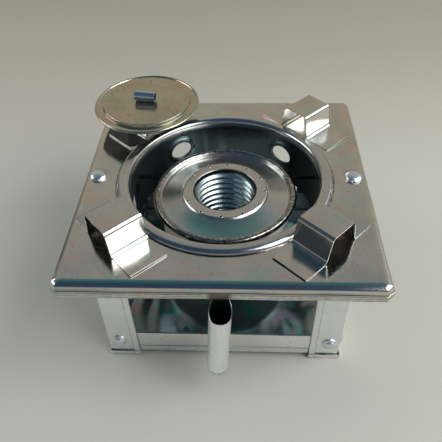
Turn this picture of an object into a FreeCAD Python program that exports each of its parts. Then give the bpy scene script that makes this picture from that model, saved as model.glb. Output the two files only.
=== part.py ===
import FreeCAD, Part
import math
import os

from FreeCAD import Rotation, Vector

# Tinplate alcohol stove: a folded square plate on four corner legs, with a round well in its
# middle, an open-jet burner hung in the well, a fuel tank under it, a filler tube at the front,
# four pot supports and a loose snuffer lid that is stored on one of them.
# Frame: millimetres, +Z up, origin on the ground under the burner's axis, -Y is the front.

# ---------------------------------------------------------------- driving dimensions
SHEET = 0.6                 # sheet metal thickness
GAP = 0.1                   # clearance between soldered pieces

PLATE_SIDE = 200.0
PLATE_TOP = 105.0           # height of the plate's top face
PLATE_BEND = 4.5            # outer radius of the folded edge
FLANGE_DEPTH = 9.3
HEM_DEPTH = 4.3
CORNER_CUT = 4.0

BODY_X = 81.5               # half width of the leg frame
BODY_Y = 76.5               # half depth of the leg frame
LEG_WIDTH = 21.0
FOOT_FOLD = 4.0
TAB = 8.0                   # soldering tab at the top of a leg

TRAY_BOTTOM = 3.0
TRAY_TOP = 24.3
TRAY_HEM_TOP = 9.4
TRAY_LIP = 1.6

WELL_R = 66.0               # inner radius of the well's wall
WELL_BOTTOM = 70.0
BEAD_OUTER_R = 74.7
BEAD_HEIGHT = 3.2
AIR_HOLE_R = 8.0
AIR_HOLE_ANGLES = (49, 124, 228, 311)
AIR_HOLE_DROP = 17.5        # air hole centres below the plate
AIR_COLLAR = 4.5            # how far the flared collars reach in

DISC_R = 51.1               # burner disc, outside of its rolled rim
RIM_ROLL_R = 2.5
DISC_TOP = 92.3
HUB_R = 31.4
HUB_TOP = 93.7
BORE_R = 22.5
JET_COUNT = 12
JET_CIRCLE_R = 28.5
JET_TURN = -3.5             # degrees from +X to the first jet
JET_R = 0.65

NECK_ROOT_R = 21.6
NECK_CREST_R = 19.7
NECK_PITCH = 5.0
NECK_TURNS = 10

TANK_R = 46.0
TANK_BOTTOM = 28.0
PIPE_R = 4.0
PIPE_X = -2.5
PIPE_Z = 36.0

FILLER_R = 7.0
FILLER_Y = -100.5
FILLER_BOTTOM = 25.0
FILLER_FOOT_X = -3.2
FILLER_LEAN = 3.3           # degrees, the tube's foot swings to -X
MOUTH_FRONT = 81.5          # height of the mouth's front lip
MOUTH_BACK = 93.0           # height of its back edge

PLATE_RIVET_X = 89.0
PIN_R = 1.25
PIN_Y = 15.0
PIN_Z = 91.8
BRACKET_SHEET = 0.8

SUPPORT_RISE = 18.0         # pot support height above the plate
SUPPORT_START = 74.0        # radius where a support begins, at the bead
SUPPORT_LENGTH = 26.0

# Each support is bent by hand: its direction from the burner in degrees, its shift
# to the left, the width of its top and of its foot folds, and how far each foot reaches.
SUPPORTS = {
    "back_right": (44.4, 2.3, 21.0, 26.0, 32.0, 33.0),
    "back_left": (136.8, -1.8, 20.0, 25.0, 27.7, 31.5),
    "front_left": (222.5, -1.4, 23.0, 27.5, 34.5, 30.0),
    "front_right": (316.3, -1.1, 20.5, 28.0, 31.0, 32.5),
}

LID_X = -62.0
LID_Y = 69.0
LID_R = 40.2
LID_PANEL_R = 33.4
LID_STEP = 2.6              # height of the raised panel above the rim
LID_CLEAR = 0.1
LID_SHEET = 0.5
LID_TILT = 1.1              # degrees, the back edge higher
KNOB_R = 3.9
KNOB_LENGTH = 15.5
KNOB_SHIFT = (-0.5, -1.2)    # from the lid's centre
KNOB_TURN = -9.0            # degrees about the upright axis
KNOB_TAB = 0.6              # thickness of its clenched tab under the lid

Z_AXIS = Vector(0, 0, 1)
ORIGIN = Vector(0, 0, 0)


# ---------------------------------------------------------------- helpers
def box(x0, x1, y0, y1, z0, z1):
    return Part.makeBox(x1 - x0, y1 - y0, z1 - z0, Vector(x0, y0, z0))


def cylinder(radius, start, direction, length):
    return Part.makeCylinder(radius, length, start, direction)


def ring(outer, inner, z0, z1):
    """A plain hoop about the Z axis."""
    hoop = cylinder(outer, Vector(0, 0, z0), Z_AXIS, z1 - z0)
    return hoop.cut(cylinder(inner, Vector(0, 0, z0 - 1), Z_AXIS, z1 - z0 + 2))


def outline(start, steps):
    """A closed face in the XZ plane. A step is (x, z), or ((mid x, mid z), (x, z)) for an arc."""
    edges = []
    here = Vector(start[0], 0, start[1])
    first = here
    for step in steps:
        if isinstance(step[0], tuple):
            middle = Vector(step[0][0], 0, step[0][1])
            there = Vector(step[1][0], 0, step[1][1])
            edges.append(Part.Arc(here, middle, there).toShape())
        else:
            there = Vector(step[0], 0, step[1])
            edges.append(Part.makeLine(here, there))
        here = there
    if (here - first).Length > 1e-6:
        edges.append(Part.makeLine(here, first))
    return Part.Face(Part.Wire(edges))


def turned(start, steps):
    """A solid of revolution about the Z axis from a half section."""
    return outline(start, steps).revolve(ORIGIN, Z_AXIS, 360)


def on_circle(centre, radius, degrees):
    angle = math.radians(degrees)
    return (centre[0] + radius * math.cos(angle), centre[1] + radius * math.sin(angle))


def clipped_square(half, clip, z0, z1):
    """A square block about the Z axis with its four upright corners cut at 45 degrees."""
    reach = half - clip
    corners = [
        (reach, -half), (half, -reach), (half, reach), (reach, half),
        (-reach, half), (-half, reach), (-half, -reach), (-reach, -half),
    ]
    points = [Vector(x, y, z0) for x, y in corners]
    face = Part.Face(Part.makePolygon(points + points[:1]))
    return face.extrude(Vector(0, 0, z1 - z0))


def round_top(block, radius):
    top = block.BoundBox.ZMax
    edges = [e for e in block.Edges if abs(e.BoundBox.ZMin - top) < 1e-6]
    return block.makeFillet(radius, edges)


def four_corners(shape):
    """The same piece at the front left, front right, back left and back right."""
    right = shape.mirror(ORIGIN, Vector(1, 0, 0))
    return {
        "front_left": shape,
        "front_right": right,
        "back_left": shape.mirror(ORIGIN, Vector(0, 1, 0)),
        "back_right": right.mirror(ORIGIN, Vector(0, 1, 0)),
    }


def rivet(head_r, head_height, shank_r, grip, tail_r, tail_height):
    """A set rivet standing on z = 0, domed head up, with its tail under a grip of sheets."""
    dome_mid_x = head_r * 0.72
    dome_mid_z = head_height * 0.62
    steps = [
        (shank_r, -grip), (tail_r, -grip), (tail_r, -grip - tail_height),
        (0, -grip - tail_height), (0, head_height),
        ((dome_mid_x, dome_mid_z), (head_r, 0)),
    ]
    return turned((shank_r, 0), steps)


def placed(shape, position, axis, spin=0.0):
    """The shape turned so that its +Z points along an axis, then moved to a position."""
    copy = shape.copy()
    turn = Rotation(Z_AXIS, axis).multiply(Rotation(Z_AXIS, spin))
    copy.Placement = FreeCAD.Placement(position, turn)
    return copy


# ---------------------------------------------------------------- plate and frame
def top_plate():
    """A folded tray turned upside down, with an outward hem round the foot of its flange."""
    half = PLATE_SIDE / 2
    bottom = PLATE_TOP - FLANGE_DEPTH
    skin = half - SHEET
    outside = round_top(clipped_square(skin, CORNER_CUT, bottom, PLATE_TOP), PLATE_BEND)
    inner = clipped_square(skin - SHEET, CORNER_CUT, bottom - 1, PLATE_TOP - SHEET)
    pan = outside.cut(round_top(inner, PLATE_BEND - SHEET))
    hem = clipped_square(half, CORNER_CUT, bottom, bottom + HEM_DEPTH)
    hem = hem.cut(clipped_square(skin - 0.2, CORNER_CUT, bottom - 1, PLATE_TOP))
    plate = pan.fuse(hem)
    plate = plate.cut(cylinder(WELL_R + 0.9, Vector(0, 0, bottom), Z_AXIS, 20))
    for side in (-1, 1):
        hole = cylinder(2.0, Vector(side * PLATE_RIVET_X, 0, bottom), Z_AXIS, 20)
        plate = plate.cut(hole)
    return plate.removeSplitter()


def front_left_leg():
    """An angle of folded sheet with hemmed edges, a folded foot and two tabs under the plate."""
    x, y = -BODY_X, -BODY_Y
    top = PLATE_TOP - SHEET
    hem = 4.3
    bodies = [
        box(x, x + LEG_WIDTH, y, y + SHEET, 0, top),
        box(x, x + SHEET, y, y + LEG_WIDTH, 0, top),
        box(x + LEG_WIDTH - hem, x + LEG_WIDTH, y - SHEET, y, 0, top),
        box(x - SHEET, x, y + LEG_WIDTH - hem, y + LEG_WIDTH, 0, top),
        box(x - SHEET, x + LEG_WIDTH, y - SHEET, y, 0, FOOT_FOLD),
        box(x - SHEET, x, y - SHEET, y + LEG_WIDTH, 0, FOOT_FOLD),
        box(x + TAB / 2, x + LEG_WIDTH, y, y + TAB, top - SHEET, top),
        box(x, x + TAB, y + TAB / 2, y + LEG_WIDTH, top - SHEET, top),
    ]
    leg = bodies[0]
    for body in bodies[1:]:
        leg = leg.fuse(body)
    for hole in leg_rivet_places():
        leg = leg.cut(cylinder(1.6, hole[0] - hole[1] * 3, hole[1], 6))
    return leg.removeSplitter()


def leg_rivet_places():
    """Head seat and outward direction of the two rivets in the front left leg."""
    rise = 15.5
    return [
        (Vector(-BODY_X + 7.5, -BODY_Y, rise), Vector(0, -1, 0)),
        (Vector(-BODY_X, -BODY_Y + 7.5, rise), Vector(-1, 0, 0)),
    ]


def leg_rivets():
    """Eight domed rivets, two through each leg and the tray's wall."""
    model = rivet(4.8, 2.3, 1.55, 2 * SHEET, 2.75, 1.0)
    pair = [placed(model, spot, out) for spot, out in leg_rivet_places()]
    solids = []
    for each in pair:
        solids += list(four_corners(each).values())
    return Part.makeCompound(solids)


def base_tray():
    """A shallow open box between the legs, with a rolled top edge and a hem strip outside."""
    x, y = BODY_X - SHEET, BODY_Y - SHEET
    tray = box(-x, x, -y, y, TRAY_BOTTOM, TRAY_TOP)
    tray = tray.cut(box(-x + SHEET, x - SHEET, -y + SHEET, y - SHEET, TRAY_BOTTOM + SHEET, 99))
    lip = box(-x, x, -y, y, TRAY_TOP - TRAY_LIP, TRAY_TOP)
    inside_x, inside_y = x - TRAY_LIP, y - TRAY_LIP
    lip = lip.cut(box(-inside_x, inside_x, -inside_y, inside_y, 0, 99))
    tray = tray.fuse(lip)
    span_x = BODY_X - LEG_WIDTH - GAP
    span_y = BODY_Y - LEG_WIDTH - GAP
    for side in (-1, 1):
        front = sorted((side * y, side * BODY_Y))
        tray = tray.fuse(box(-span_x, span_x, front[0], front[1], TRAY_BOTTOM, TRAY_HEM_TOP))
        flank = sorted((side * x, side * BODY_X))
        tray = tray.fuse(box(flank[0], flank[1], -span_y, span_y, TRAY_BOTTOM, TRAY_HEM_TOP))
    for spot, out in leg_rivet_places():
        hole = cylinder(1.6, spot - out * 6, out, 8)
        for copy in four_corners(hole).values():
            tray = tray.cut(copy)
    return tray.removeSplitter()


# ---------------------------------------------------------------- well and burner
def well_wall():
    """The well's wall, with its top edge rolled over the plate and four flared air holes."""
    roll = BEAD_HEIGHT
    top = PLATE_TOP
    inside = (WELL_R + roll, top)
    outside = (BEAD_OUTER_R - roll, top)
    thin = roll - SHEET
    wall = turned((WELL_R, WELL_BOTTOM), [
        (WELL_R, top),
        (on_circle(inside, roll, 135), (inside[0], top + roll)),
        (outside[0], top + roll),
        (on_circle(outside, roll, 45), (BEAD_OUTER_R, top)),
        (BEAD_OUTER_R - SHEET, top),
        (on_circle(outside, thin, 45), (outside[0], top + thin)),
        (inside[0], top + thin),
        (on_circle(inside, thin, 135), (WELL_R + SHEET, top)),
        (WELL_R + SHEET, WELL_BOTTOM),
    ])
    # the sheet's two ends: a lap inside, and below it a slanting gap where they part
    lap = ring(WELL_R, WELL_R - 0.5, 90.0, top - 1)
    lap = lap.common(box(-80, 0, 4.0, 18.6, 80, 120))
    wall = wall.fuse(lap)
    gap = [(18.4, 90.5), (13.5, 92.5), (2.0, 88.8), (-12.0, 84.0), (-12.0, 69.0), (0.0, 75.3), (12.0, 79.5)]
    points = [Vector(-75, y, z) for y, z in gap]
    slit = Part.Face(Part.makePolygon(points + points[:1])).extrude(Vector(25, 0, 0))
    wall = wall.cut(slit)
    for degrees in AIR_HOLE_ANGLES:
        wall = add_air_hole(wall, math.radians(degrees))
    for side in (-1, 1):
        start = Vector(side * 55, PIN_Y, PIN_Z)
        wall = wall.cut(cylinder(PIN_R + 0.05, start, Vector(side, 0, 0), 20))
    return wall.removeSplitter()


def add_air_hole(wall, angle):
    """One air hole with a flared collar that narrows towards the burner."""
    out = Vector(math.cos(angle), math.sin(angle), 0)
    height = Vector(0, 0, PLATE_TOP - AIR_HOLE_DROP)
    root_r = AIR_HOLE_R + 3.0
    wall = wall.cut(cylinder(root_r, height + out * (WELL_R - 8), out, 16))
    start = height + out * (WELL_R - AIR_COLLAR)
    depth = AIR_COLLAR + 1.2
    cone = Part.makeCone(AIR_HOLE_R + SHEET, root_r + SHEET, depth, start, out)
    bore = Part.makeCone(AIR_HOLE_R, root_r, depth, start, out)
    cone = cone.common(ring(WELL_R + SHEET, 40, 60, 120))
    return wall.fuse(cone.cut(bore))


def burner_disc():
    """The tank's dished top: a rolled rim, a groove, and a face that rises to the hub."""
    roll_centre = (DISC_R - RIM_ROLL_R, DISC_TOP - RIM_ROLL_R)
    thin = RIM_ROLL_R - SHEET
    groove_r = roll_centre[0] - RIM_ROLL_R
    level = roll_centre[1]
    inner_r = HUB_R - 1.4
    rise = 2.2
    return turned((inner_r, level + rise), [
        (groove_r - 0.6, level - 0.5),
        (groove_r, level),
        (on_circle(roll_centre, RIM_ROLL_R, 90), on_circle(roll_centre, RIM_ROLL_R, 0)),
        (on_circle(roll_centre, RIM_ROLL_R, -45), on_circle(roll_centre, RIM_ROLL_R, -90)),
        on_circle(roll_centre, thin, -90),
        (on_circle(roll_centre, thin, -45), on_circle(roll_centre, thin, 0)),
        (on_circle(roll_centre, thin, 90), on_circle(roll_centre, thin, 180)),
        (groove_r + 0.2, level - 1.1),
        (groove_r - 0.7, level - 1.14),
        (inner_r, level + rise - SHEET),
    ])


def burner_hub():
    """The raised ring round the bore, with its circle of gas jets."""
    step_r = HUB_R - 1.1
    foot = DISC_TOP - RIM_ROLL_R + 2.1
    shoulder = HUB_TOP - 0.9
    hub = turned((HUB_R, foot), [
        (HUB_R, shoulder),
        ((HUB_R - 0.3, shoulder + 0.62), (step_r, HUB_TOP)),
        (BORE_R + 0.6, HUB_TOP),
        ((BORE_R + 0.18, HUB_TOP - 0.18), (BORE_R, HUB_TOP - 0.6)),
        (BORE_R, HUB_TOP - 3.2),
        (BORE_R + SHEET, HUB_TOP - 3.2),
        (BORE_R + SHEET, HUB_TOP - SHEET),
        (step_r - 0.3, HUB_TOP - SHEET),
        (HUB_R - SHEET, shoulder - 0.2),
        (HUB_R - SHEET, foot),
    ])
    for jet in range(JET_COUNT):
        angle = 2 * math.pi * jet / JET_COUNT + math.radians(JET_TURN)
        spot = Vector(JET_CIRCLE_R * math.cos(angle), JET_CIRCLE_R * math.sin(angle), 80)
        hub = hub.cut(cylinder(JET_R, spot, Z_AXIS, 20))
    return hub


def burner_neck():
    """The ribbed sleeve in the bore, which goes down into the fuel."""
    top = HUB_TOP - SHEET - GAP
    quarter = NECK_PITCH / 4
    bottom = top - NECK_TURNS * NECK_PITCH
    middle = (NECK_ROOT_R + NECK_CREST_R) / 2
    down, up = [], []
    for turn in range(NECK_TURNS):
        z = top - turn * NECK_PITCH
        down.append((NECK_CREST_R, z - quarter))
        down.append((NECK_ROOT_R, z - 3 * quarter))
    for radius, z in reversed(down):
        up.append((radius + SHEET, z))
    ends = [(middle, bottom), (middle + SHEET, bottom)]
    return turned((middle, top), down + ends + up + [(middle + SHEET, top)])


def tank_shell():
    shell = ring(TANK_R, TANK_R - SHEET, TANK_BOTTOM + GAP, DISC_TOP - RIM_ROLL_R - 1.2)
    hole = cylinder(PIPE_R + 0.05, Vector(PIPE_X, -TANK_R - 5, PIPE_Z), Vector(0, 1, 0), 10)
    return shell.cut(hole)


def tank_bottom():
    """A shallow cap soldered over the tank's lower end."""
    outer = TANK_R + GAP + SHEET
    return turned((0, TANK_BOTTOM - SHEET), [
        (outer - 1.0, TANK_BOTTOM - SHEET),
        ((outer - 0.3, TANK_BOTTOM - SHEET + 0.3), (outer, TANK_BOTTOM + 0.4)),
        (outer, TANK_BOTTOM + 4.0),
        (outer - SHEET, TANK_BOTTOM + 4.0),
        (outer - SHEET, TANK_BOTTOM),
        (0, TANK_BOTTOM),
    ])


def feed_pipe():
    """The pipe that joins the filler tube to the tank."""
    start = FILLER_Y + FILLER_R - SHEET - 0.8
    end = -TANK_R + 1.4
    pipe = cylinder(PIPE_R, Vector(PIPE_X, start, PIPE_Z), Vector(0, 1, 0), end - start)
    bore = cylinder(PIPE_R - SHEET, Vector(PIPE_X, start - 1, PIPE_Z), Vector(0, 1, 0), 99)
    return pipe.cut(bore)


def filler_placement():
    foot = Vector(FILLER_FOOT_X, FILLER_Y, FILLER_BOTTOM)
    return FreeCAD.Placement(foot, Rotation(Vector(0, 1, 0), FILLER_LEAN))


def filler_tube():
    """A leaning tube with an oblique mouth that rises under the plate's flange."""
    tube = ring(FILLER_R, FILLER_R - SHEET, 0, 80)
    tube.Placement = filler_placement()
    front = FILLER_Y - FILLER_R
    back = FILLER_Y + FILLER_R
    knife = [
        Vector(-40, front - 1, MOUTH_FRONT), Vector(-40, front + 0.5, MOUTH_FRONT),
        Vector(-40, back - 2.0, MOUTH_BACK), Vector(-40, back + 5, MOUTH_BACK),
        Vector(-40, back + 5, 160), Vector(-40, front - 1, 160),
    ]
    tube = tube.cut(Part.Face(Part.makePolygon(knife + knife[:1])).extrude(Vector(80, 0, 0)))
    hole = cylinder(PIPE_R + 0.05, Vector(PIPE_X, FILLER_Y, PIPE_Z), Vector(0, 1, 0), 20)
    return tube.cut(hole)


def filler_end_cap():
    """A small dished cap soldered in the tube's foot."""
    radius = FILLER_R - SHEET - 0.05
    cap = turned((0, 0.3), [
        (radius - 0.8, 0.8), (radius - 0.8, 0.2), (radius, 0.2), (radius, 2.2),
        (radius - SHEET, 2.2), (radius - SHEET, 1.4), (0, 0.9),
    ])
    cap.Placement = filler_placement()
    return cap


def burner_bracket(side):
    """A strip riveted under the plate, bent down outside the well to hold the burner's pin."""
    top = PLATE_TOP - SHEET
    inner = WELL_R + SHEET + 0.8
    outer = PLATE_RIVET_X + 6.0
    flat = box(inner, outer, -7, 7, top - BRACKET_SHEET, top)
    upright = box(inner, inner + BRACKET_SHEET, -7, PIN_Y + 4, PIN_Z - 5, top)
    bracket = flat.fuse(upright)
    bracket = bracket.cut(cylinder(2.0, Vector(PLATE_RIVET_X, 0, 80), Z_AXIS, 40))
    pin_hole = cylinder(PIN_R + 0.05, Vector(60, PIN_Y, PIN_Z), Vector(1, 0, 0), 20)
    bracket = bracket.cut(pin_hole).removeSplitter()
    return bracket if side > 0 else bracket.mirror(ORIGIN, Vector(1, 0, 0))


def burner_pin(side):
    """A black iron pin from the bracket through the well's wall to the burner's rim."""
    start = 49.4
    end = WELL_R + SHEET + 0.8 + BRACKET_SHEET + 1.5
    return cylinder(PIN_R, Vector(side * start, PIN_Y, PIN_Z), Vector(side, 0, 0), end - start)


def plate_rivets():
    """The two domed rivets that hold the burner's brackets under the plate."""
    model = rivet(5.4, 2.5, 1.95, SHEET + BRACKET_SHEET, 3.3, 1.2)
    spots = [Vector(side * PLATE_RIVET_X, 0, PLATE_TOP) for side in (-1, 1)]
    return Part.makeCompound([placed(model, spot, Z_AXIS) for spot in spots])


# ---------------------------------------------------------------- pot supports and lid
def pot_support(degrees, shift, top_width, base_width, left_reach, right_reach):
    """A bent strip: a raised bridge between two flat feet, pointing out from the burner."""
    base, top, rise = base_width / 2, top_width / 2, SUPPORT_RISE
    slope = (base - top) / rise
    corners = [
        (-right_reach, 0), (-base + SHEET * 0.5, 0), (-top + SHEET * (1 - slope), rise - SHEET),
        (top - SHEET * (1 - slope), rise - SHEET), (base - SHEET * 0.5, 0), (left_reach, 0),
        (left_reach, SHEET), (base + SHEET * 0.5, SHEET), (top, rise),
        (-top, rise), (-base - SHEET * 0.5, SHEET), (-right_reach, SHEET),
    ]
    points = [Vector(0, across, up) for across, up in corners]
    strip = Part.Face(Part.makePolygon(points + points[:1])).extrude(Vector(SUPPORT_LENGTH, 0, 0))
    strip.translate(Vector(SUPPORT_START, shift, PLATE_TOP))
    strip.rotate(ORIGIN, Z_AXIS, degrees)
    return strip


def on_lid(shape):
    """Moves a shape from the lid's own frame, with its panel's underside at Z = 0, into place."""
    shape.rotate(ORIGIN, Vector(1, 0, 0), LID_TILT)
    height = PLATE_TOP + SUPPORT_RISE + KNOB_TAB + 3 * LID_CLEAR
    shape.translate(Vector(LID_X, LID_Y, height))
    return shape


def lid_disc():
    """The snuffer lid: a raised panel in a flat rim with a curled edge, slit for the knob."""
    rim_top = LID_SHEET - LID_STEP
    rim_under = rim_top - LID_SHEET
    curl_r = 0.7
    curl = (LID_R - curl_r, rim_under + 0.2)
    lid = turned((0, 0), [
        (LID_PANEL_R - 1.5, 0),
        (LID_PANEL_R - 0.5, -0.6),
        (LID_PANEL_R - 0.5, rim_under),
        (curl[0], rim_under - 0.5),
        (on_circle(curl, curl_r, -45), (LID_R, curl[1])),
        (on_circle(curl, curl_r, 45), (curl[0], rim_top)),
        (LID_PANEL_R + 0.6, rim_top),
        (LID_PANEL_R, rim_top + 0.5),
        (LID_PANEL_R, LID_SHEET - 0.8),
        ((LID_PANEL_R - 0.25, LID_SHEET - 0.25), (LID_PANEL_R - 0.8, LID_SHEET)),
        (0, LID_SHEET),
    ])
    slit = box(-6.1, 6.1, -0.7, 0.7, -1, 1)
    slit.rotate(ORIGIN, Z_AXIS, KNOB_TURN)
    slit.translate(Vector(KNOB_SHIFT[0], KNOB_SHIFT[1], 0))
    return on_lid(lid.cut(slit))


def lid_knob():
    """A strip rolled into a short tube on the lid, its ends passed through and clenched below."""
    axis_height = LID_SHEET + KNOB_R + LID_CLEAR
    half = KNOB_LENGTH / 2
    along = Vector(1, 0, 0)
    bore = cylinder(KNOB_R - SHEET, Vector(-half - 1, 0, axis_height), along, KNOB_LENGTH + 2)
    roll = cylinder(KNOB_R, Vector(-half, 0, axis_height), along, KNOB_LENGTH)
    web = box(-6, 6, -SHEET, SHEET, -LID_CLEAR - KNOB_TAB, axis_height - KNOB_R + 0.3)
    tab = box(-6, 6, -4.5, 4.5, -LID_CLEAR - KNOB_TAB, -LID_CLEAR)
    knob = roll.fuse([web, tab]).cut(bore).removeSplitter()
    knob.rotate(ORIGIN, Z_AXIS, KNOB_TURN)
    knob.translate(Vector(KNOB_SHIFT[0], KNOB_SHIFT[1], 0))
    return on_lid(knob)


# ---------------------------------------------------------------- assembly
def build():
    nodes = {
        "top_plate": top_plate(),
        "base_tray": base_tray(),
        "leg_rivets": leg_rivets(),
        "well_wall": well_wall(),
        "burner_disc": burner_disc(),
        "burner_hub": burner_hub(),
        "burner_neck": burner_neck(),
        "tank_shell": tank_shell(),
        "tank_bottom": tank_bottom(),
        "feed_pipe": feed_pipe(),
        "filler_tube": filler_tube(),
        "filler_end_cap": filler_end_cap(),
        "burner_bracket_left": burner_bracket(-1),
        "burner_bracket_right": burner_bracket(1),
        "burner_pin_left": burner_pin(-1),
        "burner_pin_right": burner_pin(1),
        "plate_rivets": plate_rivets(),
        "lid_disc": lid_disc(),
        "lid_knob": lid_knob(),
    }
    for corner, leg in four_corners(front_left_leg()).items():
        nodes["leg_" + corner] = leg
    for corner, sizes in SUPPORTS.items():
        nodes["pot_support_" + corner] = pot_support(*sizes)
    return nodes


os.makedirs("parts", exist_ok=True)
for name, shape in build().items():
    solids = [Part.Solid(s) if s.ShapeType == "Shell" else s for s in shape.Solids]
    valid = shape.isValid() and len(solids) > 0
    print(f"{name}: {len(solids)} solid(s), {shape.Volume:.1f} mm3, valid {valid}")
    shape.exportStep("parts/" + name + ".step")
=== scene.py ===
import math
from functools import partial

import bmesh
import bpy
from mathutils import Matrix, Vector, noise


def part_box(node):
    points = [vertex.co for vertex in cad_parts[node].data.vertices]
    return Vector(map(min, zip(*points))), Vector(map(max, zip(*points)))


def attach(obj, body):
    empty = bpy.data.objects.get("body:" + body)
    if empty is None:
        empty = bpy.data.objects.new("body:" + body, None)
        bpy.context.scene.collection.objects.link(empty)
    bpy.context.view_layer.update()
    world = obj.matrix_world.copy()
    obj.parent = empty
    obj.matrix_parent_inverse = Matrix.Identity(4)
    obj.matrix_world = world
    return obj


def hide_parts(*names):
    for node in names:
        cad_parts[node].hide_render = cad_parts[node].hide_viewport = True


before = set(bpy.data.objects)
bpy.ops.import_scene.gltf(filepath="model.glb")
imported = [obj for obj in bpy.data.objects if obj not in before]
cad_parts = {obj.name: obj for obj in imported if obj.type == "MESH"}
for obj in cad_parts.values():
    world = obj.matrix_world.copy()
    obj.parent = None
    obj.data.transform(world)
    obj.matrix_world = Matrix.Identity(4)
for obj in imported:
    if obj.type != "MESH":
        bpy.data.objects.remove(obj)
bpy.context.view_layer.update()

# ---- sizes, in millimetres
MM = 0.001


def cad(node):
    """A CAD node's lowest and highest corner in millimetres."""
    low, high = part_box(node)
    return Vector(low) / MM, Vector(high) / MM


plate_low, plate_high = cad("top_plate")
well_low, well_high = cad("well_wall")
disc_high = cad("burner_disc")[1]
hub_low, hub_high = cad("burner_hub")
neck_low, neck_high = cad("burner_neck")
tank_low, tank_high = cad("tank_shell")
cap_low, cap_high = cad("tank_bottom")
tray_low, tray_high = cad("base_tray")
filler_low, filler_high = cad("filler_tube")
pipe_low, pipe_high = cad("feed_pipe")
support_high = cad("pot_support_back_right")[1]

SHEET = 0.6
PLATE_TOP = plate_high.z
PLATE_HALF = plate_high.x
PLATE_BOTTOM = plate_low.z
BEND_R = 2.0
DROOP_R = 12.0
DROOP_TURN = 23             # degrees
FLANGE_LEAN = 1.25
CORNER_CUT = 4.0
HEM_DEPTH = 4.3
HOLE_R = 66.9

WELL_R = 66.0
WELL_BOTTOM = round(well_low.z) - 5  # the wall reaches 5 mm below its CAD node
BEAD_R = well_high.x
BEAD_HEIGHT = well_high.z - PLATE_TOP
AIR_HOLE_Z = PLATE_TOP - 17.5
AIR_HOLE_ANGLES = (49, 124, 228, 311)

DISC_R = disc_high.x
DISC_TOP = disc_high.z
ROLL_R = 2.5
HUB_R = hub_high.x
HUB_TOP = hub_high.z
BORE_R = 22.5
JETS = 12
JET_TURN = -3.5
JET_CIRCLE_R = 28.5
NECK_MOUTH_R = 21.6
NECK_ROOT_R = 21.1
NECK_CREST_R = 19.2
NECK_PITCH = 5.0

TANK_R = tank_high.x
LEG_X = tray_high.x
LEG_Y = tray_high.y
LEG_WIDTH = 21.0
LEG_HEM = 4.3
FOOT_FOLD = 4.0
LEG_TOP = PLATE_TOP - SHEET

FILLER_R = 7.0
FILLER_Y = (filler_low.y + filler_high.y) / 2
FILLER_FOOT = Vector((-3.2, FILLER_Y, filler_low.z + 0.4))
FILLER_LEAN = math.radians(3.3)
MOUTH_FRONT = 81.5
MOUTH_BACK = 93.0

PLATE_RIVET_X = 89.0
PLATE_RIVET_HEAD = 6.0, 2.8  # radius, height
LEG_RIVET_HEAD = 5.6, 3.0
LEG_RIVET_INSET = 7.3
LEG_RIVET_RISE = 16.8
PIN_Y = 15.0
PIN_Z = 91.8
PIN_R = 1.25

SUPPORT_RISE = support_high.z - PLATE_TOP
SUPPORT_START = 74.0
SUPPORT_LENGTH = 26.0
# direction, shift to the left, width of the top and of the foot folds, reach of each foot
SUPPORTS = {
    "back_right": (44.4, 2.3, 21.0, 26.0, 32.0, 33.0),
    "back_left": (136.8, -1.8, 20.0, 25.0, 27.7, 31.5),
    "front_left": (222.5, -1.4, 23.0, 27.5, 34.5, 30.0),
    "front_right": (316.3, -1.1, 20.5, 28.0, 31.0, 32.5),
}

LID_CENTRE = (-62.0, 69.0)
LID_BASE = PLATE_TOP + SUPPORT_RISE + 0.9
LID_TILT = math.radians(1.1)
LID_R = 40.2
LID_PANEL_R = 33.4
LID_STEP = 2.6
LID_SHEET = 0.5
KNOB_R = 3.9
KNOB_LENGTH = 15.5
KNOB_SHIFT = (-0.5, -1.2)
KNOB_TURN = math.radians(-9)


# ---- outlines
def arc(centre, radius, start, end, step=11):
    """Points along an arc, with angles in degrees."""
    count = max(2, math.ceil(abs(end - start) / step))
    angles = [math.radians(start + (end - start) * i / count) for i in range(count + 1)]
    return [(centre[0] + radius * math.cos(a), centre[1] + radius * math.sin(a)) for a in angles]


def circle(count):
    """The cosine and sine of evenly spaced angles round a full turn."""
    angles = [2 * math.pi * i / count for i in range(count)]
    return [(math.cos(angle), math.sin(angle)) for angle in angles]


def run(start, end, spacing):
    """Evenly spaced points from start up to, but not including, end."""
    count = max(1, round(math.dist(start, end) / spacing))
    return [tuple(a + (b - a) * i / count for a, b in zip(start, end)) for i in range(count)]


def rounded(points, radius, step=15):
    """An open polyline whose inner corners are turned into arcs."""
    path = [points[0]]
    for before, corner, after in zip(points, points[1:], points[2:]):
        a, b, c = Vector(before), Vector(corner), Vector(after)
        u, v = (a - b).normalized(), (c - b).normalized()
        half = u.angle(v) / 2
        if half > math.radians(89):
            path.append(corner)
            continue
        cut = min(radius / math.tan(half), (a - b).length * 0.49, (c - b).length * 0.49)
        r = cut * math.tan(half)
        centre = b + (u + v).normalized() * (r / math.sin(half))
        first, last = b + u * cut - centre, b + v * cut - centre
        sweep = first.angle_signed(last)
        count = max(2, math.ceil(abs(math.degrees(sweep)) / step))
        for i in range(count + 1):
            turn = Matrix.Rotation(-sweep * i / count, 2)
            path.append(tuple(centre + turn @ first))
    path.append(points[-1])
    return path


def crease_line(steep, size=1.0):
    """A fold from level down to the given steepness in degrees: two quick bends and two slow ones."""
    spans = ((0.5, 0.40, 4), (1.5, 0.62, 5), (0.35, 0.80, 3), (0.8, 0.89, 3), (0.25, 1.0, 2))
    x, y, share = 0.0, 0.0, 0.0
    path = [(x, y)]
    for length, target, steps in spans:
        for i in range(steps):
            turn = math.radians(steep * (share + (target - share) * (i + 0.5) / steps))
            x += length * size / steps * math.cos(turn)
            y -= length * size / steps * math.sin(turn)
            path.append((x, y))
        share = target
    return path


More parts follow.
